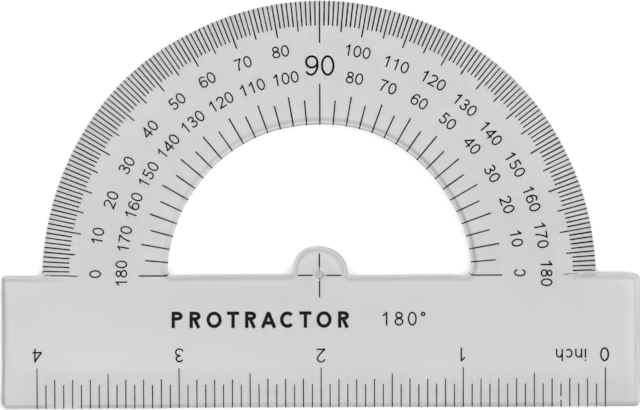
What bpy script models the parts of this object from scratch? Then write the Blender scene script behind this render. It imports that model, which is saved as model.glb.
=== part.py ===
"""A clear plastic protractor: a half-round degree arc on a bevelled inch ruler.

The frame: +X to the right along the ruler, +Y up the face, +Z out of the face.
The origin is the centre of the printed cross, on the underside of the moulding.
Lengths below are in millimetres, and become metres where a mesh is made.
The print is a thin ink film on the underside. Marks that belong to one print are
tied by a hairline, so that each print is one closed body.
"""

import math

import bmesh
import bpy
from mathutils import Vector, geometry

MM = 0.001

# The moulding
BASE_HALF_WIDTH = 57.15  # the ruler is 4.5 inches wide
BASE_TOP = 0.25  # the shoulder, just above the 0 to 180 line
BASE_BOTTOM = -23.65  # the scale edge
THICKNESS = 1.8
EDGE_THICKNESS = 0.8  # at the scale edge
BEVEL_START = -16.7  # where the scale bevel begins, in y
BEVEL_FLAT = 0.45  # a narrow land along the scale edge
TOP_CORNER_R = 0.8
BOTTOM_CORNER_R = 1.3
OUTER_R = 49.4
OPENING_R = 27.08
TAB_R = 5.3
SHOULDER_FILLET_R = 0.6
OPENING_FILLET_R = 1.0
TAB_FILLET_R = 0.5
RIM_BREAK = 0.55  # the small bevel round the outside
RIM_BREAK_DROP = 0.3
RIM_BEVEL = 0.95  # the wide bevel round the opening and the tab
RIM_BEVEL_DROP = 0.4
ARC_BEVEL_START = 44.6  # where the arc's own scale bevel begins, as a radius
ARC_EDGE_THICKNESS = 1.05  # at the arc's outer edge
BODY_SHIFT = -0.12  # the moulding sits a hair to the left of its print
DIMPLE_R = 0.8
DIMPLE_DEPTH = 0.55
DIMPLE_X = -0.08
DIMPLE_Y = 0.18
ARC_STEP = 3.0  # degrees a side on the large arcs

# The print
INK = 0.0015  # hot-stamped foil is a micron or two thick
INK_GAP = 0.0003  # between the film and the underside
TIE = 0.03  # width of the hairline that ties a row of figures together
EDGE_TIE = 0.08  # width of the one that ties a scale's ticks, along their outer ends
TICK = 0.24
CROSS = 0.25
DIGIT_H = 2.1
DIGIT_STROKE = 0.24
OUTER_ROW_R = 40.4
INNER_ROW_R = 35.55
INNER_ROW_Y = 0.4  # the inner row is struck from a point a little above the cross
NINETY_R = 37.6
NINETY_H = 3.68
NINETY_STROKE = 0.38
INCH = 25.4
ZERO_INCH_X = 50.91  # the scale reads from the right
SCALE_EDGE_GAP = 0.15
INCH_FIGURE_Y = -14.2
INCH_FIGURE_H = 2.5
WORD_BASELINE_Y = -13.25
WORD_H = 2.22
WORD_X = 47.75  # where the word starts, reading from the scale edge
LABEL_BASE_Y = -9.28
LABEL_X = -10.75
LABEL_H = 2.95
LABEL_STROKE = 0.6
ANGLE_BASE_Y = -8.95
ANGLE_X = 14.8
ANGLE_H = 2.5


# ---------------------------------------------------------------- plane shapes
def arc(cx, cy, r, a0, a1, step=ARC_STEP):
    """Points from angle a0 to a1, in degrees, on a circle."""
    n = max(2, math.ceil(abs(a1 - a0) / step))
    return [
        (
            cx + r * math.cos(math.radians(a0 + (a1 - a0) * i / n)),
            cy + r * math.sin(math.radians(a0 + (a1 - a0) * i / n)),
        )
        for i in range(n + 1)
    ]


def outer_loop(inset):
    """The outline, counter-clockwise, moved into the plastic by inset."""
    w, top, low = BASE_HALF_WIDTH, BASE_TOP, BASE_BOTTOM
    rt, rb, rf = TOP_CORNER_R, BOTTOM_CORNER_R, SHOULDER_FILLET_R
    fx = math.sqrt((OUTER_R + rf) ** 2 - (top + rf) ** 2)
    meet = math.degrees(math.atan2(top + rf, fx))
    right = arc(w - rb, low + rb, rb - inset, -90, 0, 15)
    right.append((w - inset, BEVEL_START))
    right += arc(w - rt, top - rt, rt - inset, 0, 90, 15)
    right += arc(fx, top + rf, rf + inset, 270, 180 + meet, 20)
    half_arc = arc(0, 0, OUTER_R - inset, meet, 90)
    right += half_arc[1:]
    left = [(-x, y) for x, y in reversed(right[:-1])]
    return right + left


def opening_loop(inset):
    """The D-shaped opening round the tab, clockwise, moved into the plastic by inset."""
    top = BASE_TOP
    rh, rr = OPENING_FILLET_R, TAB_FILLET_R
    hx = math.sqrt((OPENING_R - rh) ** 2 - (top + rh) ** 2)
    meet = math.degrees(math.atan2(top + rh, hx))
    tx = math.sqrt((TAB_R + rr) ** 2 - (top + rr) ** 2)
    root = math.degrees(math.atan2(top + rr, tx))
    right = arc(0, 0, TAB_R - inset, 90, root, 10)
    right += arc(tx, top + rr, rr + inset, 180 + root, 270, 20)
    right += arc(hx, top + rh, rh + inset, -90, meet, 16)
    right += arc(0, 0, OPENING_R + inset, meet, 90)[1:]
    left = [(-x, y) for x, y in reversed(right)]
    return right + left[1:-1]


# ---------------------------------------------------------------- the moulding
def ring(bm, loop, z):
    return [bm.verts.new((x * MM, y * MM, z * MM)) for x, y in loop]


def join_rings(bm, low, high):
    n = len(low)
    for i in range(n):
        bm.faces.new((low[i], low[(i + 1) % n], high[(i + 1) % n], high[i]))


def inside(point, loop):
    """True if the point is within the closed loop."""
    x, y = point
    found = False
    for (x0, y0), (x1, y1) in zip(loop, loop[1:] + loop[:1]):
        if (y0 > y) != (y1 > y) and x < x0 + (y - y0) * (x1 - x0) / (y1 - y0):
            found = not found
    return found


def cap(bm, outline, outline_ring, hole, hole_ring):
    """A flat face between the outline and the opening."""
    points = [Vector(p) for p in outline + hole]
    made = outline_ring + hole_ring
    n, m = len(outline), len(hole)
    edges = [(i, (i + 1) % n) for i in range(n)] + [(n + i, n + (i + 1) % m) for i in range(m)]
    out = geometry.delaunay_2d_cdt(points, edges, [list(range(n))], 1, 1e-5)
    for face in out[2]:
        middle = sum((out[0][i] for i in face), Vector((0, 0))) / len(face)
        if not inside(middle, hole):
            bm.faces.new([made[out[3][i][0]] for i in face])


def material(name, colour, roughness, transmission=0.0):
    mat = bpy.data.materials.new(name)
    mat.use_nodes = True
    shader = mat.node_tree.nodes["Principled BSDF"]
    shader.inputs["Base Color"].default_value = (*colour, 1.0)
    shader.inputs["Roughness"].default_value = roughness
    shader.inputs["Metallic"].default_value = 0.0
    shader.inputs["Transmission Weight"].default_value = transmission
    mat.diffuse_color = (*colour, 1.0)
    return mat


def add_object(name, bm, mat, parent=None):
    mesh = bpy.data.meshes.new(name)
    bm.to_mesh(mesh)
    bm.free()
    ob = bpy.data.objects.new(name, mesh)
    bpy.context.scene.collection.objects.link(ob)
    if mat:
        mesh.materials.append(mat)
    ob.parent = parent
    return ob


def cut(ob, cutter):
    cutter.hide_render = True
    cutter.display_type = "WIRE"
    mod = ob.modifiers.new(cutter.name, "BOOLEAN")
    mod.operation = "DIFFERENCE"
    mod.solver = "EXACT"
    mod.object = cutter


def scale_bevel_cutter():
    """A long wedge that takes the top off the ruler's scale edge."""
    reach = BASE_HALF_WIDTH + 5
    end = BASE_BOTTOM - 5
    profile = [
        (BEVEL_START, THICKNESS),
        (BASE_BOTTOM + BEVEL_FLAT, EDGE_THICKNESS),
        (end, EDGE_THICKNESS),
        (end, THICKNESS + 3),
        (BEVEL_START, THICKNESS + 3),
    ]
    bm = bmesh.new()
    face = bm.faces.new([bm.verts.new((-reach * MM, y * MM, z * MM)) for y, z in profile])
    out = bmesh.ops.extrude_face_region(bm, geom=[face])
    moved = [g for g in out["geom"] if isinstance(g, bmesh.types.BMVert)]
    bmesh.ops.translate(bm, verts=moved, vec=Vector((2 * reach * MM, 0, 0)))
    bmesh.ops.recalc_face_normals(bm, faces=bm.faces)
    return add_object("scale_bevel_cutter", bm, None)


def arc_bevel_cutter():
    """A half ring that slopes the arc's outer band down, and stops at the ruler's top edge."""
    slope = (THICKNESS - ARC_EDGE_THICKNESS) / (OUTER_R - ARC_BEVEL_START)
    reach = OUTER_R + 3
    profile = [
        (ARC_BEVEL_START, THICKNESS),
        (reach, THICKNESS - slope * (reach - ARC_BEVEL_START)),
        (reach, THICKNESS + 3),
        (ARC_BEVEL_START, THICKNESS + 3),
    ]
    bm = bmesh.new()
    steps = 60
    rings = []
    for i in range(steps + 1):
        corners = []
        for r, z in profile:
            a0 = math.asin(BASE_TOP / r)
            a = a0 + (math.pi - 2 * a0) * i / steps
            corners.append(bm.verts.new((r * math.cos(a) * MM, r * math.sin(a) * MM, z * MM)))
        rings.append(corners)
    for low, high in zip(rings, rings[1:]):
        join_rings(bm, low, high)
    bm.faces.new(rings[0])
    bm.faces.new(rings[-1])
    bmesh.ops.recalc_face_normals(bm, faces=bm.faces)
    ob = add_object("arc_bevel_cutter", bm, None)
    ob.location.x = BODY_SHIFT * MM
    return ob


def dimple_cutter():
    """A blunt cone that leaves a blind centre mark in the face."""
    bm = bmesh.new()
    above = 0.4
    rise = DIMPLE_DEPTH + above
    widen = DIMPLE_R * 0.75 / DIMPLE_DEPTH
    bmesh.ops.create_cone(
        bm,
        cap_ends=True,
        segments=20,
        radius1=DIMPLE_R * 0.25 * MM,
        radius2=(DIMPLE_R * 0.25 + widen * rise) * MM,
        depth=rise * MM,
    )
    ob = add_object("dimple_cutter", bm, None)
    ob.location = (DIMPLE_X * MM, DIMPLE_Y * MM, (THICKNESS - DIMPLE_DEPTH + rise / 2) * MM)
    return ob


def clear_body(mat, parent):
    bm = bmesh.new()
    outer = [
        ring(bm, outer_loop(0), 0),
        ring(bm, outer_loop(0), THICKNESS - RIM_BREAK_DROP),
        ring(bm, outer_loop(RIM_BREAK), THICKNESS),
    ]
    opening = [
        ring(bm, opening_loop(0), 0),
        ring(bm, opening_loop(0), THICKNESS - RIM_BEVEL_DROP),
        ring(bm, opening_loop(RIM_BEVEL), THICKNESS),
    ]
    for rings in (outer, opening):
        for low, high in zip(rings, rings[1:]):
            join_rings(bm, low, high)
    cap(bm, outer_loop(0), outer[0], opening_loop(0), opening[0])
    cap(bm, outer_loop(RIM_BREAK), outer[-1], opening_loop(RIM_BEVEL), opening[-1])
    bmesh.ops.recalc_face_normals(bm, faces=bm.faces)
    ob = add_object("clear_body", bm, mat, parent)
    ob.data.shade_smooth()
    ob.data.set_sharp_from_angle(angle=math.radians(20))
    ob.location.x = BODY_SHIFT * MM
    cut(ob, scale_bevel_cutter())
    cut(ob, arc_bevel_cutter())
    cut(ob, dimple_cutter())
    return ob


# ---------------------------------------------------------------- strokes
def bend(p0, p1, p2, n):
    """Points on a curve from p0 to p2 that leans towards p1."""
    return [
        (
            (1 - t) ** 2 * p0[0] + 2 * t * (1 - t) * p1[0] + t * t * p2[0],
            (1 - t) ** 2 * p0[1] + 2 * t * (1 - t) * p1[1] + t * t * p2[1],
        )
        for t in (i / n for i in range(n + 1))
    ]


def oval(cx, cy, rx, ry, a0, a1, n):
    """Points on an oval, from angle a0 to a1 in degrees."""
    return [
        (cx + rx * math.cos(math.radians(a)), cy + ry * math.sin(math.radians(a)))
        for a in (a0 + (a1 - a0) * i / n for i in range(n + 1))
    ]


def glyph(char, h, n=4):
    """Centre lines of a plain sans figure one unit tall, and its advance. h is half the stroke.
    Each line is (points, closed)."""
    wide = 0.75
    mid = wide / 2
    if char == "0":
        return [(oval(mid, 0.5, 0.33 - h, 0.5 - h, 0, 360, 2 * n + 2)[:-1], True)], wide
    if char == "1":
        flag = bend((0.46, 1 - 0.8 * h), (0.36, 0.80), (0.17, 0.71), 2)
        return [([(0.46, 0), (0.46, 1)], False), (flag, False)], wide
    if char == "2":
        bowl = oval(0.385, 0.71, 0.32 - h, 0.29 - h, 170, -25, n)
        tail = bend(bowl[-1], (0.50, 0.40), (0.13, h), 3)[1:]
        return [(bowl + tail, False), ([(0.06, h), (0.71, h)], False)], wide
    if char == "3":
        upper = oval(0.375, 0.75, 0.29 - h, 0.25 - h, 165, -90, n)
        lower = oval(0.375, 0.285, 0.33 - h, 0.285 - h, 90, -165, n + 1)
        return [(upper, False), (lower, False), ([(0.28, 0.535), (0.40, 0.535)], False)], wide
    if char == "4":
        x = 0.54
        return [
            ([(x, 0), (x, 1)], False),
            ([(0.03, 0.29), (0.72, 0.29)], False),
            ([(x, 1 - 1.4 * h), (0.08, 0.29)], False),
        ], wide
    if char == "5":
        bowl = oval(0.375, 0.325, 0.33 - h, 0.325 - h, 128, -160, n + 1)
        return [
            ([(0.66, 1 - h), (0.235, 1 - h), bowl[0]], False),
            (bowl, False),
        ], wide
    if char in "69":
        bowl = oval(0.395, 0.325, 0.33 - h, 0.325 - h, 0, 360, 2 * n)[:-1]
        back = oval(0.43, 0.46, 0.37 - h, 0.54 - h, 42, 200, n)
        lines = [(bowl, True), (back, False)]
        if char == "9":
            lines = [([(wide - x, 1 - y) for x, y in p], c) for p, c in lines]
        return lines, wide
    if char == "7":
        leg = bend((0.66, 1 - h), (0.34, 0.58), (0.28, 0), 4)
        return [([(0.07, 1 - h), (0.70, 1 - h)], False), (leg, False)], wide
    if char == "8":
        upper = oval(mid, 0.755, 0.285 - h, 0.245 - h, 0, 360, 2 * n)[:-1]
        lower = oval(mid, 0.29, 0.33 - h, 0.29 - h, 0, 360, 2 * n)[:-1]
        return [(upper, True), (lower, True), ([(mid - 0.06, 0.545), (mid + 0.06, 0.545)], False)], wide
    raise ValueError(char)


def letter(char, h, n=4):
    """Centre lines of a plain sans letter whose capitals are one unit tall, and its advance."""
    x_height = 0.72
    if char == "i":
        return [([(0.155, 0), (0.155, x_height)], False), ([(0.155, 1 - 2.2 * h), (0.155, 1)], False)], 0.31
    if char in "nh":
        arch = oval(0.40, 0.40, 0.27 - h, x_height - 0.40 - h, 180, 0, n) + [(0.67 - h, 0)]
        tall = x_height if char == "n" else 1
        return [([(0.16, 0), (0.16, tall)], False), ([(0.13 + h, 0.40)] + arch[1:], False)], 0.80
    if char == "c":
        return [(oval(0.38, x_height / 2, 0.31 - h, x_height / 2 - h, 42, 318, n + 2), False)], 0.74
    if char == "P" or char == "R":
        bowl = [(0.10, 1 - h), (0.42, 1 - h)] + oval(0.42, 0.73, 0.25, 0.27 - h, 60, -60, 4)
        bowl += [(0.42, 0.46 + h), (0.10, 0.46 + h)]
        lines = [([(0.10 + h, 0), (0.10 + h, 1)], False), (bowl, False)]
        if char == "R":
            lines.append(([(0.42, 0.46 + h), (0.68, 0)], False))
        return lines, 0.86
    if char == "O":
        return [(oval(0.50, 0.5, 0.44 - h, 0.5 - h, 0, 360, 2 * n)[:-1], True)], 1.0
    if char == "C":
        return [(oval(0.49, 0.5, 0.43 - h, 0.5 - h, 40, 320, n + 3), False)], 0.93
    if char == "T":
        return [([(0.03, 1 - h), (0.73, 1 - h)], False), ([(0.38, 0), (0.38, 1)], False)], 0.76
    if char == "A":
        return [
            ([(0.05, 0), (0.41, 1 - 0.5 * h)], False),
            ([(0.41, 1 - 0.5 * h), (0.77, 0)], False),
            ([(0.16, 0.32), (0.66, 0.32)], False),
        ], 0.82
    if char == "°":
        return [(oval(0.20, 0.83, 0.17 - h, 0.17 - h, 0, 360, 8)[:-1], True)], 0.40
    if char == " ":
        return [], 0.40
    return glyph(char, h, n)


def stroke(points, closed, half):
    """A pen line of the given half width along points, as quads that meet at mitres."""
    n = len(points)
    sides = []
    for i, (x, y) in enumerate(points):
        before = points[i - 1] if closed or i else None
        after = points[(i + 1) % n] if closed or i < n - 1 else None
        normals = []
        for a, b in ((before, (x, y)), ((x, y), after)):
            if a and b:
                d = math.hypot(b[0] - a[0], b[1] - a[1])
                normals.append((-(b[1] - a[1]) / d, (b[0] - a[0]) / d))
        nx, ny = (sum(v) / len(normals) for v in zip(*normals))
        size = nx * nx + ny * ny
        nx, ny = nx / size, ny / size
        sides.append(((x + nx * half, y + ny * half), (x - nx * half, y - ny * half)))
    pairs = zip(sides, sides[1:] + sides[:1]) if closed else zip(sides, sides[1:])
    return [[a[1], b[1], b[0], a[0]] for a, b in pairs]


def text(string, height, pen, place, letters=glyph, spacing=0.0):
    """Quads of a line of figures, centred on place's origin and standing on its baseline, and its width."""
    h = pen / height / 2
    quads, x = [], 0.0
    runs = []
    for char in string:
        lines, advance = letters(char, h)
        for points, closed in lines:
            runs.append(([(x + px, py) for px, py in points], closed))
        x += advance + spacing
    width = x - spacing
    for points, closed in runs:
        shifted = [((px - width / 2) * height, py * height) for px, py in points]
        for quad in stroke(shifted, closed, pen / 2):
            quads.append([place(p) for p in quad])
    return quads, width * height


def turned(cx, cy, degrees):
    """A frame at cx, cy turned by degrees, for one label."""
    c, s = math.cos(math.radians(degrees)), math.sin(math.radians(degrees))
    return lambda p: (cx + c * p[0] - s * p[1], cy + s * p[0] + c * p[1])


def tie_line(points, width=TIE):
    return stroke(points, False, width / 2)


# ---------------------------------------------------------------- the ink
def ink_sheet(name, quads, mat, parent):
    """The union of the quads as one flat film on the underside."""
    verts, faces = [], []
    for quad in quads:
        area = sum(
            quad[i][0] * quad[(i + 1) % len(quad)][1] - quad[(i + 1) % len(quad)][0] * quad[i][1]
            for i in range(len(quad))
        )
        start = len(verts)
        verts += [Vector(p) for p in (quad if area > 0 else reversed(quad))]
        faces.append(list(range(start, start + len(quad))))
    out = geometry.delaunay_2d_cdt(verts, [], faces, 1, 1e-4)
    bm = bmesh.new()
    made = [bm.verts.new((p[0], p[1], 0)) for p in out[0]]
    for face, sources in zip(out[2], out[5]):
        if sources:
            bm.faces.new([made[i] for i in face])
    loose = [v for v in bm.verts if not v.link_faces]
    bmesh.ops.delete(bm, geom=loose, context="VERTS")
    bmesh.ops.recalc_face_normals(bm, faces=bm.faces)
    inner = [e for e in bm.edges if len(e.link_faces) == 2]
    bmesh.ops.dissolve_limit(
        bm, angle_limit=math.radians(0.05), verts=bm.verts, edges=inner
    )
    bmesh.ops.triangulate(bm, faces=bm.faces)
    film = bmesh.ops.extrude_face_region(bm, geom=bm.faces[:])
    top = [g for g in film["geom"] if isinstance(g, bmesh.types.BMVert)]
    bmesh.ops.translate(bm, verts=top, vec=Vector((0, 0, 1)))
    bmesh.ops.recalc_face_normals(bm, faces=bm.faces)
    # faces point out while the film is thick, so it is thinned last
    for v in bm.verts:
        z = -INK_GAP - (0 if v.co.z > 0.5 else INK)
        v.co = Vector((v.co.x * MM, v.co.y * MM, z * MM))
    return add_object(name, bm, mat, parent)


def radial_tick(degrees, r0, r1, width):
    place = turned(0, 0, degrees)
    h = width / 2
    return [place(p) for p in ((r0, -h), (r1, -h), (r1, h), (r0, h))]


def outer_degree_ticks():
    quads = []
    edge = OUTER_R - 0.15
    for d in range(181):
        inner = 44.8
        if d % 5 == 0:
            inner = 43.9
        if d % 10 == 0:
            inner = 43.4
        if d == 90:
            inner = 41.7
        quads.append(radial_tick(d, inner, edge, TICK))
    return quads + tie_line(arc(0, 0, edge, 0, 180, 3), EDGE_TIE)


def inner_degree_ticks():
    quads = []
    edge = OPENING_R + 0.1
    for d in range(0, 181, 5):
        outer = 34.35 if d == 90 else 32.5 if d % 10 == 0 else 31.5
        quads.append(radial_tick(d, edge, outer, TICK))
    return quads + tie_line(arc(0, 0, edge, 0, 180, 5), EDGE_TIE)


def degree_numerals(radius, flip, cy=0.0):
    """One row of numerals, tops outwards. The outer row rises from left to right, and the inner one falls."""
    quads = []
    base = radius - DIGIT_H / 2
    for value in range(0, 181, 10):
        if value == 90:
            continue
        at = value if flip else 180 - value
        place = turned(
            base * math.cos(math.radians(at)), cy + base * math.sin(math.radians(at)), at - 90
        )
        quads += text(str(value), DIGIT_H, DIGIT_STROKE, place)[0]
    reach = math.degrees(2.1 / base)
    return quads + tie_line(arc(0, cy, base + DIGIT_STROKE / 2, -reach, 180 + reach, 2.5))


def ninety_degree_numeral():
    base = NINETY_R - NINETY_H / 2
    quads, width = text("90", NINETY_H, NINETY_STROKE, turned(0, base, 0))
    y = base + NINETY_STROKE / 2
    return quads + tie_line([(-width * 0.25, y), (width * 0.25, y)])


def centre_cross():
    """Four arms that stop short of the dimple, tied by a hairline round it."""
    quads = []
    for d in range(0, 360, 90):
        quads.append(radial_tick(d, 1.1, 4.0, CROSS))
    return quads + stroke(arc(0, 0, 1.2, 0, 360, 15)[:-1], True, TIE / 2)


def inch_ticks():
    quads = []
    low = BASE_BOTTOM + SCALE_EDGE_GAP
    h = TICK / 2
    for i in range(65):
        length = 4.25
        if i % 2 == 0:
            length = 5.2
        if i % 8 == 0:
            length = 6.25
        if i % 16 == 0:
            length = 7.2
        x = ZERO_INCH_X - i * INCH / 16
        high = BASE_BOTTOM + length
        quads.append([(x - h, low), (x + h, low), (x + h, high), (x - h, high)])
    end = ZERO_INCH_X - 4 * INCH
    return quads + tie_line([(end - h, low), (ZERO_INCH_X + h, low)], EDGE_TIE)


def inch_numerals():
    quads = []
    base = INCH_FIGURE_Y + INCH_FIGURE_H / 2
    for i in range(5):
        place = turned(ZERO_INCH_X - i * INCH, base, 180)
        quads += text(str(i), INCH_FIGURE_H, DIGIT_STROKE, place)[0]
    y = base - DIGIT_STROKE / 2
    return quads + tie_line([(ZERO_INCH_X - 4 * INCH - 0.4, y), (ZERO_INCH_X, y)])


def inch_unit_word():
    width = (0.31 + 0.80 + 0.74 + 0.80) * WORD_H
    middle = WORD_X - width / 2
    place = turned(middle, WORD_BASELINE_Y, 180)
    quads = text("inch", WORD_H, DIGIT_STROKE, place, letter)[0]
    half = width / 2 - 0.2 * WORD_H / 2
    low = DIGIT_STROKE / 2
    quads += [[place(p) for p in q] for q in tie_line([(-half, low), (half, low)])]
    x = -width / 2 + 0.155 * WORD_H
    quads += [[place(p) for p in q] for q in tie_line([(x, low), (x, WORD_H - 0.05)])]
    return quads


def face_label():
    """A plain generic name for the tool, and the angle that it spans."""
    quads, width = text("PROTRACTOR", LABEL_H, LABEL_STROKE, turned(LABEL_X, LABEL_BASE_Y, 0), letter, 0.228)
    low = ANGLE_BASE_Y
    angle, reach = text("180°", ANGLE_H, DIGIT_STROKE, turned(ANGLE_X, low, 0), letter, 0.2)
    y = low + DIGIT_STROKE / 2
    # the degree ring is the last 0.40 of a letter height wide
    end = ANGLE_X + reach / 2 - 0.20 * ANGLE_H
    quads += angle + tie_line([(LABEL_X - width / 2 + 0.5, y), (end, y)])
    return quads + tie_line([(end, y - TIE / 2), (end, low + 0.72 * ANGLE_H)])


def main():
    for ob in list(bpy.data.objects):
        bpy.data.objects.remove(ob)
    plastic = material("clear_plastic", (0.83, 0.84, 0.84), 0.08, 1.0)
    ink = material("black_ink", (0.02, 0.02, 0.021), 0.45)
    origin = bpy.data.objects.new("protractor", None)
    bpy.context.scene.collection.objects.link(origin)
    clear_body(plastic, origin)
    prints = {
        "outer_degree_ticks": outer_degree_ticks(),
        "inner_degree_ticks": inner_degree_ticks(),
        "outer_degree_numerals": degree_numerals(OUTER_ROW_R, False),
        "inner_degree_numerals": degree_numerals(INNER_ROW_R, True, INNER_ROW_Y),
        "ninety_degree_numeral": ninety_degree_numeral(),
        "centre_cross": centre_cross(),
        "inch_ticks": inch_ticks(),
        "inch_numerals": inch_numerals(),
        "inch_unit_word": inch_unit_word(),
        "face_label": face_label(),
    }
    for name, quads in prints.items():
        ink_sheet(name, quads, ink, origin)


main()
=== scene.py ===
"""The looks of a clear plastic protractor: the fine moulding, its printed scales and the studio.

Lengths are in millimetres, and become metres where a mesh is made.
"""

import math
import random

import bmesh
import bpy
import numpy as np
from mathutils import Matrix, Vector, geometry, noise


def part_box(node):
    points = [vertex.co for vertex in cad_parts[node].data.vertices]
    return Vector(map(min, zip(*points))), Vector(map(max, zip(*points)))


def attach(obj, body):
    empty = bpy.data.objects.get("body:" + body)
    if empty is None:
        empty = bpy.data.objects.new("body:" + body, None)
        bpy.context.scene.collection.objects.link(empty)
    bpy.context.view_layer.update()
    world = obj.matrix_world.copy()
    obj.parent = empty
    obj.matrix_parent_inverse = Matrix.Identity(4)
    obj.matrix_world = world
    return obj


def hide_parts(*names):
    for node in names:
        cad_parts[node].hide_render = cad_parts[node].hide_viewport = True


MM = 0.001

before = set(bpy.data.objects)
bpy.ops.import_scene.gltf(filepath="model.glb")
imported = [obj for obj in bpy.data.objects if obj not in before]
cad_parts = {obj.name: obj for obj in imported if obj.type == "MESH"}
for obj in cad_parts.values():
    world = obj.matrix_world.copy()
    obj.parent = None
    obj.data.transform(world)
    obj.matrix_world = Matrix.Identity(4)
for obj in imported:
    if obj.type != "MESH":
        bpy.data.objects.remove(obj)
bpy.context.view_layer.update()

# ---------------------------------------------------------------- the moulding's own numbers
body_low, body_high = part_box("clear_body")
LEFT, RIGHT = body_low.x / MM, body_high.x / MM
SHIFT = (LEFT + RIGHT) / 2
HALF = (RIGHT - LEFT) / 2
LOW = body_low.y / MM
THICK = body_high.z / MM
OUTER_R = body_high.y / MM
BASE_TOP = 0.36
OPENING_R = 27.08
TAB_R = 5.3
BEVEL_START = -16.7
EDGE_THICK = 0.8
EDGE_LAND = 0.45
ARC_BEVEL_R = 44.6
ARC_EDGE_THICK = 1.05
TOP_CORNER_R = 1.05
BOTTOM_CORNER_R = 1.3
SHOULDER_FILLET_R = 0.6
OPENING_FILLET_R = 1.0
TAB_FILLET_R = 0.3
DIMPLE = (0.14, 0.18)
DIMPLE_R = 0.8
DIMPLE_DEPTH = 0.3
# small errors of a real moulding against its print
ARC_X = -0.22
BASE_X = 0.07
TURN = math.radians(0.16)
STRETCH = 0.0026


# how much the real rims stand off true circles and lines, in mm: (angle or x, offset)
ARC_ERROR = ((0, -0.1), (6, -0.14), (27, -0.16), (36, -0.01), (46, 0.12), (56, -0.02), (66, -0.18), (76, -0.15),
             (87, -0.09), (96, -0.14), (110, -0.23), (118, -0.22), (127, -0.06), (136, -0.03), (146, -0.12),
             (157, -0.23), (167, -0.23), (175, -0.13), (180, -0.08))
OPENING_ERROR = ((0, 0.12), (10, 0.14), (20, 0.04), (30, -0.09), (40, -0.11), (50, 0.0), (62, 0.09), (71, 0.12),
                 (81, 0.03), (90, -0.07), (100, -0.07), (111, 0.03), (130, 0.05), (142, -0.03), (160, -0.05), (170, 0.0))
TAB_ERROR = ((0, 0.0), (10, 0.0), (20, 0.03), (30, 0.1), (50, 0.14), (70, 0.11), (80, 0.06), (92, 0.08), (101, 0.11),
             (110, 0.2), (120, 0.22), (131, 0.1), (141, 0.03), (150, -0.11), (160, -0.25), (170, -0.48))
BASE_ERROR = ((-57.2, 0.12), (-54.5, 0.09), (-53, 0.03), (-50, 0.0), (-49.4, 0.0), (-48.8, -0.22), (-44.4, -0.21),
              (-41, 0.0), (-28, 0.0), (-25.5, -0.04), (-23, 0.06), (-5, 0.07), (5, -0.18), (9.5, -0.21), (24, -0.16), (26, -0.34), (30, 0.0), (47.5, 0.0), (50.2, 0.19), (54, 0.22), (55.2, 0.11), (56.5, -0.18),
              (57.2, -0.45))
LOW_ERROR = ((-57, 0.14), (-36, 0.14), (-29, 0.12), (-24, 0.19), (-13, 0.19), (-4, 0.15), (12, 0.12), (20, 0.08), (28, 0.04), (50, 0.01))


def warp(points):
    """From the ideal outline to the moulding as it lies under its print."""
    p = np.asarray(points, float)
    x, y = p[:, 0], p[:, 1]
    r = np.maximum(np.hypot(x, y), 1e-6)
    angle = np.degrees(np.arctan2(y, x))
    above = smooth(-1.0, 1.5, y)
    far = smooth(32, 43, r) * above
    base = np.maximum(smooth(-2.5, -6.0, y), smooth(50.2, 52, np.abs(x)))
    out = smooth(45, 48.5, r) * above * np.interp(angle, *zip(*ARC_ERROR))
    out += smooth(24, 26, r) * smooth(31, 28.5, r) * smooth(0.6, 2, y) * np.interp(angle, *zip(*OPENING_ERROR))
    out += smooth(3, 4.5, r) * smooth(8, 6.5, r) * smooth(0, 0.8, y) * np.interp(angle, *zip(*TAB_ERROR))
    rise = smooth(-2.8, -0.6, y) * smooth(2.2, 0.8, y) * smooth(4.6, 5.4, r) * np.interp(x, *zip(*BASE_ERROR))
    rise += smooth(-20, -22.5, y) * np.interp(x, *zip(*LOW_ERROR))
    wx = x * (1 + STRETCH * far) + out * x / r - 0.2 * smooth(-14, -22, y) * smooth(-50, -56, x)
    wy = y * (1 - STRETCH * far) + out * y / r + rise
    wx, wy = wx * math.cos(TURN) - wy * math.sin(TURN), wx * math.sin(TURN) + wy * math.cos(TURN)
    return np.stack([wx + ARC_X + (BASE_X - ARC_X) * base, wy], 1)


def smooth(edge0, edge1, x):
    t = np.clip((np.asarray(x, float) - edge0) / (edge1 - edge0), 0, 1)
    return t * t * (3 - 2 * t)


def soft_ramp(x, width):
    """max(0, x), with its corner rounded over plus and minus width."""
    x = np.asarray(x, float)
    mid = (x + width) ** 2 / (4 * width)
    return np.where(x > width, x, np.where(x < -width, 0.0, mid))


# ---------------------------------------------------------------- outlines
def arc(cx, cy, r, a0, a1, step):
    n = max(2, math.ceil(abs(a1 - a0) / step))
    return [
        (
            cx + r * math.cos(math.radians(a0 + (a1 - a0) * i / n)),
            cy + r * math.sin(math.radians(a0 + (a1 - a0) * i / n)),
        )
        for i in range(n + 1)
    ]


def line(a, b, step):
    n = max(1, math.ceil(math.hypot(b[0] - a[0], b[1] - a[1]) / step))
    return [(a[0] + (b[0] - a[0]) * i / n, a[1] + (b[1] - a[1]) * i / n) for i in range(n + 1)]


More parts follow.
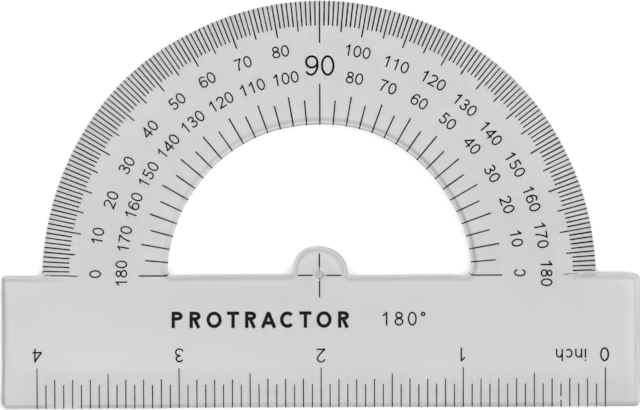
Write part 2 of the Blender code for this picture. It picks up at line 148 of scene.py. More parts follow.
def outer_loop(inset):
    """The outline, counter-clockwise, moved into the plastic by inset."""
    w, top, low = HALF, BASE_TOP, LOW
    rf = SHOULDER_FILLET_R
    rt, rb = max(TOP_CORNER_R - inset, 0.02), max(BOTTOM_CORNER_R - inset, 0.02)
    fx = math.sqrt((OUTER_R + rf) ** 2 - (top + rf) ** 2)
    meet = math.degrees(math.atan2(top + rf, fx))
    bx, by, tx, ty = w - inset - rb, low + inset + rb, w - inset - rt, top - inset - rt
    right = line((0, low + inset), (bx, low + inset), 3.0)[:-1]
    right += arc(bx, by, rb, -90, 0, 9)[:-1]
    right += line((w - inset, by), (w - inset, ty), 1.6)[:-1]
    right += arc(tx, ty, rt, 0, 90, 10)[:-1]
    right += line((tx, top - inset), (fx, top - inset), 1.0)[:-1]
    right += arc(fx, top + rf, rf + inset, 270, 180 + meet, 10)[:-1]
    right += arc(0, 0, OUTER_R - inset, meet, 90, 0.75)
    left = [(-x, y) for x, y in reversed(right[1:-1])]
    return right + left


def opening_loop(inset):
    """The D-shaped opening round the tab, moved into the plastic by inset."""
    top = BASE_TOP
    rh, rr = OPENING_FILLET_R, TAB_FILLET_R
    hx = math.sqrt((OPENING_R - rh) ** 2 - (top + rh) ** 2)
    meet = math.degrees(math.atan2(top + rh, hx))
    tx = math.sqrt((TAB_R + rr) ** 2 - (top + rr) ** 2)
    root = math.degrees(math.atan2(top + rr, tx))
    right = arc(0, 0, TAB_R - inset, 90, root, 4)[:-1]
    right += arc(tx, top + rr, rr + inset, 180 + root, 270, 9)[:-1]
    right += line((tx, top - inset), (hx, top - inset), 1.5)[:-1]
    right += arc(hx, top + rh, rh + inset, -90, meet, 9)[:-1]
    right += arc(0, 0, OPENING_R + inset, meet, 90, 1.0)
    left = [(-x, y) for x, y in reversed(right[1:-1])]
    return right + left


def distances(points, loop):
    """How far each point is from a closed loop, and the unit way from the loop's nearest point to it."""
    a = np.array(loop)
    b = np.roll(a, -1, axis=0)
    ab = b - a
    size = (ab**2).sum(1)
    out = np.empty(len(points))
    away = np.empty((len(points), 2))
    for k in range(0, len(points), 1500):
        p = points[k : k + 1500]
        t = np.clip(((p[:, None] - a) * ab).sum(2) / size, 0, 1)
        near = a + t[:, :, None] * ab
        gap = p[:, None] - near
        d = np.sqrt((gap**2).sum(2))
        i = d.argmin(1)
        rows = np.arange(len(p))
        out[k : k + 1500] = d[rows, i]
        away[k : k + 1500] = gap[rows, i] / np.maximum(d[rows, i], 1e-9)[:, None]
    return out, away


def within(points, loop):
    x, y = points[:, 0], points[:, 1]
    found = np.zeros(len(points), bool)
    for (x0, y0), (x1, y1) in zip(loop, loop[1:] + loop[:1]):
        crosses = (y0 > y) != (y1 > y)
        with np.errstate(divide="ignore", invalid="ignore"):
            found ^= crosses & (x < x0 + (y - y0) * (x1 - x0) / (y1 - y0))
    return found


OUTER = outer_loop(0)
OPENING = opening_loop(0)


def rounding(d, width, drop):
    """How far a rounded edge has fallen at distance d from the rim."""
    u = 1 - np.clip(d / width, 0, 1)
    return drop * (1 - np.sqrt(np.maximum(0, 1 - u**2)))


def height(points):
    """The top face's height over the underside."""
    p = np.asarray(points, float)
    x, y = p[:, 0], p[:, 1]
    r = np.hypot(x, y)
    d_out = distances(p, OUTER)[0] * within(p, OUTER)
    d_open = distances(p, OPENING)[0] * ~within(p, OPENING)
    slope = (THICK - EDGE_THICK) / (BEVEL_START - LOW - EDGE_LAND)
    scale = np.minimum(slope * soft_ramp(BEVEL_START - y, 0.35), THICK - EDGE_THICK)
    arc_drop = (THICK - ARC_EDGE_THICK) / (OUTER_R - ARC_BEVEL_R) * soft_ramp(r - ARC_BEVEL_R, 0.3)
    shoulder = np.where(y < BASE_TOP, rounding(BASE_TOP - y, 0.12, 0.76) + rounding(BASE_TOP - y, 1.3, 0.04), 0.8)
    arc_drop = np.minimum(arc_drop, shoulder)
    top = THICK - scale - arc_drop * (y > -3)
    on_arc = smooth(BASE_TOP + 0.05, BASE_TOP + 0.7, y)
    at_scale = smooth(LOW + 1.6, LOW + 0.5, y)
    wide = 1.05 * (1 - on_arc) * (1 - at_scale) + 0.16 * on_arc + 0.3 * at_scale
    drop = 0.8 * (1 - on_arc) * (1 - at_scale) + 0.1 * on_arc + 0.2 * at_scale
    drop = np.minimum(drop, 0.45 * top)
    top = top - rounding(d_out, wide, drop)
    top = top - rounding(d_open, 1.05, 0.55)
    gap = np.hypot(x - DIMPLE[0], y - DIMPLE[1])
    turn = np.arctan2(y - DIMPLE[1], x - DIMPLE[0])
    pit = DIMPLE_DEPTH * smooth(DIMPLE_R, DIMPLE_R * 0.2, gap) ** 0.8
    lip = 0.07 * np.exp(-(((gap - DIMPLE_R - 0.1) / 0.12) ** 2)) * (1 + 0.7 * np.cos(2 * turn - 1.2))
    return top - pit + lip


def top_normals(points):
    e = 0.01
    p = np.asarray(points, float)
    dx = (height(p + (e, 0)) - height(p - (e, 0))) / (2 * e)
    dy = (height(p + (0, e)) - height(p - (0, e))) / (2 * e)
    n = np.stack([-dx, -dy, np.ones(len(p))], 1)
    return n / np.linalg.norm(n, axis=1)[:, None]


def fill(loops, paths):
    """Triangles between the first loop and the second, with every loop and path as edges."""
    points, edges = [], []
    for k, path in enumerate(loops + paths):
        start = len(points)
        points += [Vector(p) for p in path]
        edges += [(start + i, start + i + 1) for i in range(len(path) - 1)]
        if k < len(loops):
            edges.append((start + len(path) - 1, start))
    face = list(range(len(loops[0])))
    out = geometry.delaunay_2d_cdt(points, edges, [face], 1, 1e-5)
    made = np.array([(v.x, v.y) for v in out[0]])
    faces = np.array([list(f) for f in out[2]])
    middle = made[faces].mean(1)
    keep = within(middle, loops[0]) & ~within(middle, loops[1])
    return made, faces[keep]


def hill(d, centre, half, soft):
    """1 within half of centre, falling to 0 over soft on either side."""
    gap = np.abs(d - centre)
    return smooth(half + soft, half, gap)


def rim_tone(p):
    """Painted shade and highlights for the plastic's colour: how much each point is darkened, negative where it is
    lightened, in bands and lines along the rounded edges and round the dimple.
    """
    x, y = p[:, 0], p[:, 1]
    d_out, way_out = distances(p, OUTER)
    d_open, way_open = distances(p, OPENING)
    use_out = d_out < d_open
    d = np.where(use_out, d_out, d_open)
    out_of = -np.where(use_out[:, None], way_out, way_open)
    # the step where the arc's bevel meets the ruler has a rounded edge of its own
    step = (np.abs(x) > ARC_BEVEL_R - 1) & (np.abs(x) < OUTER_R + 0.4) & (y < BASE_TOP + 0.01)
    d = np.where(step, BASE_TOP - y, d)
    out_of = np.where(step[:, None], (0.0, 1.0), out_of)
    fade = np.where(step, smooth(44.8 - 1.4 * (x > 0), 47.2, np.abs(x)), 1.0)
    on_arc = use_out & (y > BASE_TOP + 0.3) & ~step
    at_end = use_out & (np.abs(out_of[:, 0]) > 0.8) & (y < 0)
    at_scale = use_out & (out_of[:, 1] < -0.8)
    in_opening = ~use_out & ~step
    radius = np.hypot(x, y)
    angle = np.degrees(np.arctan2(y, x))
    on_tab = in_opening & (radius < 8) & (y > BASE_TOP - 0.2)
    on_rim = in_opening & (radius > 20) & (y > BASE_TOP + 0.6)
    nx, ny = out_of[:, 0], out_of[:, 1]
    on_shoulder = use_out & (ny > 0.8) & (np.abs(x) > OUTER_R + 0.4)
    strength = np.full(len(p), 0.20)
    centre = np.full(len(p), 0.74)
    half, soft = np.full(len(p), 0.28), np.full(len(p), 0.26)
    turned_up = smooth(15, 85, angle) * smooth(150, 115, angle)
    facing = np.clip(0.75 * ny - 0.45 * nx, 0, 1)
    for where, amount, c, h, w in (
        (at_end & (nx < 0), 0.6, 0.52, 0.08, 0.36),
        (at_end & (nx > 0), -0.05, 0.25, 0.3, 0.2),
        (on_shoulder, 0.21 - 0.03 * (x > 0), 0.92 + 0.21 * (x > 0), 0.14, 0.36),
        (step, np.where(x > 0, 0.27, 0.12), 0.7, 0.15, np.where(x > 0, 0.42, 0.32)),
        (at_scale, 0.15 + 0.15 * smooth(-10, -45, x) + 0.07 * smooth(15, 45, x), 0.58 - 0.12 * smooth(-10, -45, x), 0.14, 0.22),
        (on_rim, 0.25 - 0.16 * nx - 0.07 * smooth(0.7, 1.0, nx), 0.79 + 0.2 * turned_up, 0.16, 0.28),
        (on_tab, 0.11 + 0.11 * facing, 0.8 + 0.35 * np.clip(nx, 0, 1), 0.16, 0.3),
    ):
        strength = np.where(where, amount, strength)
        centre = np.where(where, c, centre)
        half = np.where(where, h, half)
        soft = np.where(where, w, soft)
    band = smooth(half + soft, half, np.abs(d - centre)) * strength * fade * ~on_arc
    # painted shade: a fine dark line right at the rim where two curved faces meet
    line_at = on_rim * smooth(140, 110, angle) * smooth(8, 60, angle) * hill(d, 0.16, 0.05, 0.09) * 0.62
    line_at += at_scale * hill(d, 0.2, 0.04, 0.10) * (0.26 + 0.3 * smooth(10, 40, x))
    line_at += on_tab * np.clip(nx, 0, 1) * hill(d, 0.3, 0.05, 0.14) * 0.25
    painted_shading = 1 - (1 - band) * (1 - line_at)
    # a painted light line along the left step
    painted_shading -= 0.06 * hill(d, 0.2, 0.05, 0.15) * step * (x < 0)
    # painted shade and highlights: the scale edge a little darker, the crease above it a lighter strip, and the
    # plastic lighter towards the top and towards the left
    painted_shading += 0.01 * smooth(-17.0, -18.0, y) * (1 + 2.5 * smooth(10, 50, x))
    painted_shading -= 0.03 * smooth(8, 30, y)
    painted_shading -= (0.035 + 0.02 * smooth(10, -20, x)) * hill(y, -15.9, 0.35, 0.5) * (np.abs(x) < HALF - 1.3)
    painted_shading -= 0.022 * smooth(0, -50, x)
    # painted shade and highlights at the dimple: a grey pit, a shaded crescent, and a ring of light and dark lobes
    gap = np.hypot(x - DIMPLE[0], y - DIMPLE[1])
    turn = np.degrees(np.arctan2(y - DIMPLE[1], x - DIMPLE[0]))
    pit = 0.42 * smooth(0.92, 0.72, gap)
    lobe = np.cos(np.radians(turn - 50)) ** 2 - 0.45
    ring = hill(gap, 1.1, 0.12, 0.25)
    shade = 0.16 * hill(gap, 0.6, 0.1, 0.18) * smooth(0.5, 1.0, np.cos(np.radians(turn + 38)))
    return np.where(gap < 2, np.maximum(pit + shade - 0.26 * ring * lobe, -0.07), painted_shading)


def make_body():
    steps_out = [0, 0.02, 0.06, 0.12, 0.2, 0.3, 0.42, 0.54, 0.68, 0.82, 0.96, 1.1, 1.3]
    steps_open = [0, 0.03, 0.08, 0.14, 0.2, 0.27, 0.36, 0.46, 0.58, 0.7, 0.84, 0.98, 1.12, 1.3, 1.5]
    loops = [OUTER, OPENING]
    loops += [outer_loop(s) for s in steps_out[1:]] + [opening_loop(s) for s in steps_open[1:]]
    paths = []
    for s in (-1, 1):
        for drop in (1.42, 1.56, 1.7, 1.9):
            paths.append(line((s * (OUTER_R + 0.3), BASE_TOP - drop), (s * (HALF - 1.5), BASE_TOP - drop), 0.8))
    inner = HALF - 1.35
    for y in (BEVEL_START + 0.35, BEVEL_START, BEVEL_START - 0.35, LOW + 1.8, -20.0):
        paths.append(line((-inner, y), (inner, y), 1.6))
    for r in (ARC_BEVEL_R - 0.3, ARC_BEVEL_R, ARC_BEVEL_R + 0.3, 46.5):
        a0 = math.degrees(math.asin((BASE_TOP + 0.02) / r))
        paths.append(arc(0, 0, r, a0, 180 - a0, 0.75))
    for s in (-1, 1):
        for drop in (-0.02, 0, 0.01, 0.03, 0.06, 0.1, 0.16, 0.24, 0.34, 0.46, 0.6, 0.74, 0.9, 1.1, 1.3):
            paths.append(line((s * 44.0, BASE_TOP - drop), (s * (OUTER_R - 1.35), BASE_TOP - drop), 0.5))
    for r in (0.1, 0.2, 0.32, 0.44, 0.56, 0.68, 0.8, 0.9, 1.0, 1.12, 1.24, 1.36, 1.5, 1.7):
        ring = arc(DIMPLE[0], DIMPLE[1], r, 0, 360, 15)
        paths.append(ring)
    flat, faces = fill(loops, paths)
    z = height(flat)
    normals = top_normals(flat)
    n_top = len(flat)
    verts = [(x, y, h) for (x, y), h in zip(flat, z)]
    norms = [tuple(n) for n in normals]
    tris = [tuple(f) for f in faces]
    where = {(round(x, 5), round(y, 5)): i for i, (x, y) in enumerate(flat)}

    def nearest(p):
        key = (round(p[0], 5), round(p[1], 5))
        if key in where:
            return where[key]
        return int(np.argmin(((flat - p) ** 2).sum(1)))

    bottom_rings = []
    quads = []
    for make, way in ((outer_loop, 1), (opening_loop, -1)):
        rim = make(0)
        top_ring = [nearest(p) for p in rim]
        around = np.array(rim)
        ahead = np.roll(around, -1, 0) - np.roll(around, 1, 0)
        side = np.stack([ahead[:, 1], -ahead[:, 0]], 1)
        side /= np.linalg.norm(side, axis=1)[:, None]
        if make is opening_loop:
            inward = np.array(make(0.2)) - around
            if (inward * side).sum() > 0:
                side = -side
        else:
            inward = np.array(make(0.2)) - around
            if (inward * side).sum() > 0:
                side = -side
        for i, k in enumerate(top_ring):
            norms[k] = (side[i][0] * 0.98, side[i][1] * 0.98, 0.2)
        rings = [top_ring]
        for inset, level, tilt in ((0, 0.10, 0.0), (0.03, 0.03, -1.0), (0.10, 0.0, None)):
            start = len(verts)
            loop = make(inset)
            for i, (x, y) in enumerate(loop):
                verts.append((x, y, level))
                norms.append((0, 0, -1) if tilt is None else (side[i][0], side[i][1], tilt))
            rings.append(list(range(start, start + len(loop))))
        for high, low in zip(rings, rings[1:]):
            n = len(high)
            for i in range(n):
                j = (i + 1) % n
                quads.append((high[i], low[i], low[j], high[j]) if way > 0 else (high[j], low[j], low[i], high[i]))
        bottom_rings.append((make(0.10), rings[-1]))
    under, under_faces = fill([bottom_rings[0][0], bottom_rings[1][0]], [])
    index = {}
    for loop, ring in bottom_rings:
        for p, k in zip(loop, ring):
            index[(round(p[0], 4), round(p[1], 4))] = k
    table = []
    for x, y in under:
        key = (round(x, 4), round(y, 4))
        if key not in index:
            index[key] = len(verts)
            verts.append((x, y, 0.0))
            norms.append((0, 0, -1))
        table.append(index[key])
    tris += [(table[c], table[b], table[a]) for a, b, c in under_faces]

    mesh = bpy.data.meshes.new("clear_moulding")
    lain = warp([(x, y) for x, y, _ in verts])
    mesh.from_pydata([(x * MM, y * MM, v[2] * MM) for (x, y), v in zip(lain, verts)], [], tris + quads)
    mesh.validate()
    bm = bmesh.new()
    bm.from_mesh(mesh)
    bmesh.ops.recalc_face_normals(bm, faces=bm.faces)
    bad = sum(1 for e in bm.edges if len(e.link_faces) != 2)
    bm.to_mesh(mesh)
    bm.free()
    mesh.update()
    mesh.shade_smooth()
    unit = []
    for n in norms:
        size = math.sqrt(n[0] ** 2 + n[1] ** 2 + n[2] ** 2)
        unit.append((n[0] / size, n[1] / size, n[2] / size))
    mesh.normals_split_custom_set_from_vertices(unit)
    # the painted edge shade and highlights belong to the top face only, as the underside's triangles are too wide to
    # carry them
    tone = np.zeros(len(verts), np.float32)
    tone[:n_top] = rim_tone(flat)
    # the rim attribute holds painted shade and highlights for the plastic's colour
    rim = mesh.attributes.new("rim", "FLOAT", "POINT")
    rim.data.foreach_set("value", tone)
    print("body", len(verts), "vertices,", len(tris) + len(quads), "faces, open edges", bad)
    ob = bpy.data.objects.new("clear_moulding", mesh)
    bpy.context.scene.collection.objects.link(ob)
    return ob


# ---------------------------------------------------------------- strokes
def bend(p0, p1, p2, n):
    return [
        (
            (1 - t) ** 2 * p0[0] + 2 * t * (1 - t) * p1[0] + t * t * p2[0],
            (1 - t) ** 2 * p0[1] + 2 * t * (1 - t) * p1[1] + t * t * p2[1],
        )
        for t in (i / n for i in range(n + 1))
    ]


def oval(cx, cy, rx, ry, a0, a1, n):
    return [
        (cx + rx * math.cos(math.radians(a)), cy + ry * math.sin(math.radians(a)))
        for a in (a0 + (a1 - a0) * i / n for i in range(n + 1))
    ]


def glyph(char, h, n=12):
    """Centre lines of a plain sans figure one unit tall, and its advance. h is half the stroke."""
    wide = 0.75
    mid = wide / 2
    if char == "0":
        return [(oval(mid, 0.5, 0.325 - h, 0.5 - h, 0, 360, 2 * n + 2)[:-1], True)], wide
    if char == "1":
        flag = bend((0.44, 1 - 0.8 * h), (0.34, 0.80), (0.16, 0.71), 5)
        return [([(0.44, 0), (0.44, 1)], False), (flag, False)], wide
    if char == "2":
        bowl = oval(0.375, 0.71, 0.31 - h, 0.29 - h, 170, -25, n)
        tail = bend(bowl[-1], (0.48, 0.40), (0.12, h), 6)[1:]
        return [(bowl + tail, False), ([(0.06, h), (0.69, h)], False)], wide
    if char == "3":
        upper = oval(0.365, 0.75, 0.28 - h, 0.25 - h, 165, -90, n)
        lower = oval(0.365, 0.285, 0.32 - h, 0.285 - h, 90, -165, n + 1)
        return [(upper, False), (lower, False), ([(0.27, 0.535), (0.39, 0.535)], False)], wide
    if char == "4":
        x = 0.52
        return [
            ([(x, 0), (x, 1)], False),
            ([(0.03, 0.29), (0.70, 0.29)], False),
            ([(x, 1 - 1.4 * h), (0.07, 0.29)], False),
        ], wide
    if char == "5":
        bowl = oval(0.365, 0.325, 0.32 - h, 0.325 - h, 128, -160, n + 1)
        return [([(0.64, 1 - h), (0.225, 1 - h), bowl[0]], False), (bowl, False)], wide
    if char in "69":
        bowl = oval(0.385, 0.325, 0.32 - h, 0.325 - h, 0, 360, 2 * n)[:-1]
        back = oval(0.42, 0.46, 0.36 - h, 0.54 - h, 42, 200, n)
        lines = [(bowl, True), (back, False)]
        if char == "9":
            lines = [([(wide - x, 1 - y) for x, y in p], c) for p, c in lines]
        return lines, wide
    if char == "7":
        leg = bend((0.64, 1 - h), (0.33, 0.58), (0.27, 0), 8)
        return [([(0.07, 1 - h), (0.68, 1 - h)], False), (leg, False)], wide
    if char == "8":
        upper = oval(mid, 0.755, 0.275 - h, 0.245 - h, 0, 360, 2 * n)[:-1]
        lower = oval(mid, 0.29, 0.32 - h, 0.29 - h, 0, 360, 2 * n)[:-1]
        return [(upper, True), (lower, True), ([(mid - 0.06, 0.545), (mid + 0.06, 0.545)], False)], wide
    raise ValueError(char)


def letter(char, h, n=12):
    """Centre lines of a plain sans letter whose capitals are one unit tall, and its advance."""
    x_height = 0.72
    if char == "i":
        return [([(0.155, 0), (0.155, x_height)], False), ([(0.155, 1 - 2.2 * h), (0.155, 1)], False)], 0.31
    if char in "nh":
        arch = oval(0.40, 0.40, 0.27 - h, x_height - 0.40 - h, 180, 0, n) + [(0.67 - h, 0)]
        tall = x_height if char == "n" else 1
        return [([(0.16, 0), (0.16, tall)], False), ([(0.13 + h, 0.40)] + arch[1:], False)], 0.80
    if char == "c":
        return [(oval(0.38, x_height / 2, 0.31 - h, x_height / 2 - h, 42, 318, n + 2), False)], 0.74
    if char == "P" or char == "R":
        bowl = [(0.10, 1 - h), (0.42, 1 - h)] + oval(0.42, 0.73, 0.25, 0.27 - h, 84, -84, n)
        bowl += [(0.42, 0.46 + h), (0.10, 0.46 + h)]
        lines = [([(0.10 + h, 0), (0.10 + h, 1)], False), (bowl, False)]
        if char == "R":
            lines.append(([(0.40, 0.46 + h), (0.66, 0)], False))
        return lines, 0.86
    if char == "O":
        return [(oval(0.50, 0.5, 0.46 - h, 0.5 - h, 0, 360, 2 * n + 4)[:-1], True)], 1.02
    if char == "C":
        return [(oval(0.49, 0.5, 0.45 - h, 0.5 - h, 42, 318, n + 6), False)], 0.95
    if char == "T":
        return [([(0.03, 1 - h), (0.77, 1 - h)], False), ([(0.40, 0), (0.40, 1)], False)], 0.80
    if char == "A":
        return [
            ([(0.06, 0), (0.43, 1 - 0.5 * h)], False),
            ([(0.43, 1 - 0.5 * h), (0.80, 0)], False),
            ([(0.18, 0.30), (0.68, 0.30)], False),
        ], 0.86
    if char == "°":
        return [(oval(0.20, 0.83, 0.17 - h, 0.17 - h, 0, 360, n + 2)[:-1], True)], 0.40
    if char == " ":
        return [], 0.40
    return glyph(char, h, n)


def refine(points, closed, step):
    """The same line with more points on its long runs."""
    out = []
    pairs = list(zip(points, points[1:] + points[:1])) if closed else list(zip(points, points[1:]))
    for a, b in pairs:
        out += line(a, b, step)[:-1]
    if not closed:
        out.append(points[-1])
    return out


def stroke(points, closed, half):
    """A pen line of the given half width along points, as quads that meet at mitres."""
    n = len(points)
    sides = []
    for i, (x, y) in enumerate(points):
        before = points[i - 1] if closed or i else None
        after = points[(i + 1) % n] if closed or i < n - 1 else None
        normals = []
        for a, b in ((before, (x, y)), ((x, y), after)):
            if a and b:
                d = math.hypot(b[0] - a[0], b[1] - a[1])
                normals.append((-(b[1] - a[1]) / d, (b[0] - a[0]) / d))
        nx, ny = (sum(v) / len(normals) for v in zip(*normals))
        size = nx * nx + ny * ny
        nx, ny = nx / size, ny / size
        sides.append(((x + nx * half, y + ny * half), (x - nx * half, y - ny * half)))
    pairs = zip(sides, sides[1:] + sides[:1]) if closed else zip(sides, sides[1:])
    return [[a[1], b[1], b[0], a[0]] for a, b in pairs]


def text(string, height_, pen, place, letters=glyph, spacing=0.0, wide=1.0, skip=None):
    """Quads of a line of figures, centred on place's origin and standing on its baseline, and its width."""
    h = pen / height_ / 2
    quads, x = [], 0.0
    runs = []
    for char in string:
        lines, advance = letters(char, h)
        for points, closed in lines:
            runs.append(([(x + px, py) for px, py in points], closed))
        x += advance + spacing
    width = x - spacing
    for points, closed in runs:
        shifted = [((px - width / 2) * height_ * wide, py * height_) for px, py in points]
        shifted = refine(shifted, closed, 0.35)
        for quad in stroke(shifted, closed, pen / 2):
            if skip:
                cx = sum(p[0] for p in quad) / 4
                cy = sum(p[1] for p in quad) / 4
                if skip(cx, cy):
                    continue
            quads.append([place(p) for p in quad])
    return quads, width * height_ * wide


def turned(cx, cy, degrees):
    c, s = math.cos(math.radians(degrees)), math.sin(math.radians(degrees))
    return lambda p: (cx + c * p[0] - s * p[1], cy + s * p[0] + c * p[1])


# ---------------------------------------------------------------- the ink
INK_TOP = 0.004  # the film is keyed into the plastic by this much
INK_LOW = -0.02
TICK = 0.24
OUTER_TICK = 0.248
INCH_TICK = 0.182
CROSS = 0.25
DIGIT_H = 2.12
PEN = 0.25
OUTER_ROW_R = 40.32
INNER_ROW_R = 35.585
INNER_ROW_X = 0.065
INNER_ROW_Y = 0.215
INCH = 25.4
ZERO_INCH_X = 50.91

dice = random.Random(41)


def pen_at(x, pen=PEN):
    """The print is a little heavier towards the right."""
    return pen * float(1 + 0.09 * smooth(12, 40, x))


def ink_piece(name, quads, node, mat):
    """The union of the quads as one thin film, with the slightly uneven edge of real print."""
    verts, faces = [], []
    for quad in quads:
        area = sum(
            quad[i][0] * quad[(i + 1) % len(quad)][1] - quad[(i + 1) % len(quad)][0] * quad[i][1]
            for i in range(len(quad))
        )
        start = len(verts)
        verts += [Vector(p) for p in (quad if area > 0 else reversed(quad))]
        faces.append(list(range(start, start + len(quad))))
    out = geometry.delaunay_2d_cdt(verts, [], faces, 1, 1e-4)
    bm = bmesh.new()
    made = []
    for p in out[0]:
        wave = noise.noise_vector(Vector((p[0] * 3.1, p[1] * 3.1, len(name))))
        made.append(bm.verts.new((p[0] + 0.012 * wave[0], p[1] + 0.012 * wave[1], INK_LOW)))
    for face, sources in zip(out[2], out[5]):
        if sources:
            bm.faces.new([made[i] for i in face])
    loose = [v for v in bm.verts if not v.link_faces]
    bmesh.ops.delete(bm, geom=loose, context="VERTS")
    bmesh.ops.recalc_face_normals(bm, faces=bm.faces)
    film = bmesh.ops.extrude_face_region(bm, geom=bm.faces[:])
    top = [g for g in film["geom"] if isinstance(g, bmesh.types.BMVert)]
    bmesh.ops.translate(bm, verts=top, vec=Vector((0, 0, INK_TOP - INK_LOW)))
    bmesh.ops.recalc_face_normals(bm, faces=bm.faces)
    for v in bm.verts:
        v.co *= MM
    mesh = bpy.data.meshes.new(name)
    bm.to_mesh(mesh)
    bm.free()
    ob = bpy.data.objects.new(name, mesh)
    bpy.context.scene.collection.objects.link(ob)
    mesh.materials.append(mat)
    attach(ob, "root")
    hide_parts(node)
    return ob


def tick(a, b, width):
    """A printed tick from a to b with rounded ends, as quads."""
    half = width / 2 * dice.uniform(0.93, 1.07)
    n = max(3, math.ceil(math.hypot(b[0] - a[0], b[1] - a[1]) / 0.6))
    length = math.hypot(b[0] - a[0], b[1] - a[1])
    ux, uy = (b[0] - a[0]) / length, (b[1] - a[1]) / length
    stations = [(0, 0.45), (0.25 * half, 0.8), (0.8 * half, 1.0)]
    stations += [(length * i / n, dice.uniform(0.92, 1.06)) for i in range(1, n)]
    stations += [(length - 0.8 * half, 1.0), (length - 0.25 * half, 0.8), (length, 0.45)]
    sides = []
    for s, w in stations:
        x, y = a[0] + ux * s, a[1] + uy * s
        sides.append(((x - uy * half * w, y + ux * half * w), (x + uy * half * w, y - ux * half * w)))
    return [[p[1], q[1], q[0], p[0]] for p, q in zip(sides, sides[1:])]


def polar(r, degrees):
    return (r * math.cos(math.radians(degrees)), r * math.sin(math.radians(degrees)))


def outer_degree_ticks():
    quads = []
    for d in range(181):
        inner = 44.6
        if d % 5 == 0:
            inner = 43.7
        if d % 10 == 0:
            inner = 43.2
        if d == 90:
            inner = 41.6
        a = math.radians(d)
        inner += 0.05 + 0.17 * math.cos(a) ** 2 + 0.07 * math.cos(a) + dice.uniform(-0.05, 0.05)
        inner += 0.12 * smooth(0.97, 1.0, abs(math.cos(a)))
        # the print runs to the moulding's rim, but not out over its bulges
        edge = OUTER_R * (1 + STRETCH * math.cos(2 * a)) + ARC_X * math.cos(a)
        edge += min(np.interp(d, *zip(*ARC_ERROR)), -0.1) - 0.06 + dice.uniform(-0.04, 0.03)
        if d == 0:
            # this one hardly printed
            quads += tick((43.5, 0.1), (44.45, 0.25), 0.14)
            quads += tick((44.4, 0.25), (46.2, 0.27), 0.06)
            continue
        if d == 180:
            # and this one is thin
            quads += tick((-43.35, 0.04), (-45.4, 0.13), 0.19)
            quads += tick((-45.3, 0.13), (-49.15, 0.15), 0.19)
            continue
        # the plate's own small angular error
        at = d + math.degrees((0.03 * math.cos(3 * a) + 0.027 * math.cos(a) ** 7) / 46)
        quads += tick(polar(inner, at), polar(edge, at), OUTER_TICK * (0.97 + 0.05 * math.cos(a)))
    return quads


def inner_degree_ticks():
    quads = []
    for d in range(0, 181, 5):
        outer = 34.35 if d == 90 else 32.5 if d % 10 == 0 else 31.48
        a = math.radians(d)
        edge = OPENING_R + ARC_X * math.cos(a) + np.interp(d, *zip(*OPENING_ERROR))
        edge += 0.06 + dice.uniform(-0.03, 0.05)
        at = d + math.degrees((0.06 * math.cos(a) ** 3 - 0.01) / 29.5)
        quads += tick(polar(edge, at), polar(outer + dice.uniform(-0.06, 0.06), at), TICK)
    return quads


# how far each outer figure's stamp sits from the rule, outwards and along the row
STAMP_DRIFT = {
    0: (-0.08, 0.43), 10: (0.1, 0.18), 20: (-0.53, 0.09), 30: (-0.49, -0.06), 40: (-0.12, 0.63),
    50: (0.03, 0.56), 60: (0.12, 0.11), 70: (0.09, 0.15), 80: (0.37, 0.07), 100: (0.31, -0.3),
    110: (-0.16, -0.07), 120: (0.04, 0.14), 130: (-0.28, 0.25), 140: (-0.58, 0.19), 150: (-0.2, 0.25),
    160: (-0.09, 0.06), 170: (-0.13, -0.21), 180: (0.14, -0.39),
}


def outer_degree_numerals():
    quads = []
    for value, (out, along) in STAMP_DRIFT.items():
        at = 180 - value
        base = OUTER_ROW_R - DIGIT_H / 2 + out
        x, y = polar(base, at)
        t = math.radians(at - 90)
        x, y = x + along * math.cos(t), y + along * math.sin(t)
        quads += text(str(value), DIGIT_H, pen_at(x), turned(x, y, at - 90), wide=1.04)[0]
    return quads


def inner_degree_numerals():
    quads = []
    base = INNER_ROW_R - DIGIT_H / 2
    for value in range(0, 181, 10):
        if value == 90:
            continue
        # this row is squeezed a little towards the top
        lean = math.cos(math.radians(value))
        x, y = polar(base + 0.03, value + 0.45 * lean * abs(lean))
        skip = None
        if value == 0:
            skip = lambda px, py: px < -0.3 and 0.62 < py < 1.45
        quads += text(
            str(value), DIGIT_H, pen_at(x), turned(x + INNER_ROW_X, y + INNER_ROW_Y, value - 90), wide=1.04, skip=skip
        )[0]
    return quads


def ninety_degree_numeral():
    return text("90", 3.68, 0.38, turned(0.03, 37.6 - 3.68 / 2, 0), wide=1.02)[0]


def centre_cross():
    quads = []
    quads += tick((1.03, 0.09), (3.79, 0.07), 0.22)
    quads += tick((-1.43, 0.12), (-4.03, 0.08), CROSS)
    quads += tick((-0.15, 1.48), (-0.15, 4.0), CROSS)
    quads += tick((-0.13, -0.7), (-0.13, -3.88), CROSS)
    # the foil tore thin where each arm meets the dimple
    quads += tick((-0.15, 1.02), (-0.15, 1.46), 0.13)
    quads += tick((-1.08, 0.19), (-1.4, 0.13), 0.08)
    quads += tick((0.78, 0.1), (1.02, 0.1), 0.08)
    return quads


def inch_ticks():
    quads = []
    low = LOW + 0.14
    for i in range(65):
        length = 4.35
        if i % 2 == 0:
            length = 5.3
        if i % 8 == 0:
            length = 6.35
        if i % 16 == 0:
            length = 7.25
        length += dice.uniform(-0.05, 0.05)
        x = ZERO_INCH_X - i * INCH / 16
        high = -23.65 + length
        if i == 5:
            quads += tick((x, low), (x, -22.25), INCH_TICK)
            quads += tick((x, -21.6), (x, high), INCH_TICK)
            continue
        quads += tick((x, low + dice.uniform(0, 0.05)), (x, high), INCH_TICK)
    return quads


def inch_numerals():
    quads = []
    for i, (dx, dy) in enumerate(((-0.13, 0.06), (-0.18, 0.08), (0, -0.05), (0.05, 0.08), (0.02, 0.09))):
        place = turned(ZERO_INCH_X - i * INCH + dx, -14.2 + 1.25 + dy, 180)
        quads += text(str(i), 2.52, pen_at(ZERO_INCH_X - i * INCH, 0.27), place)[0]
    return quads


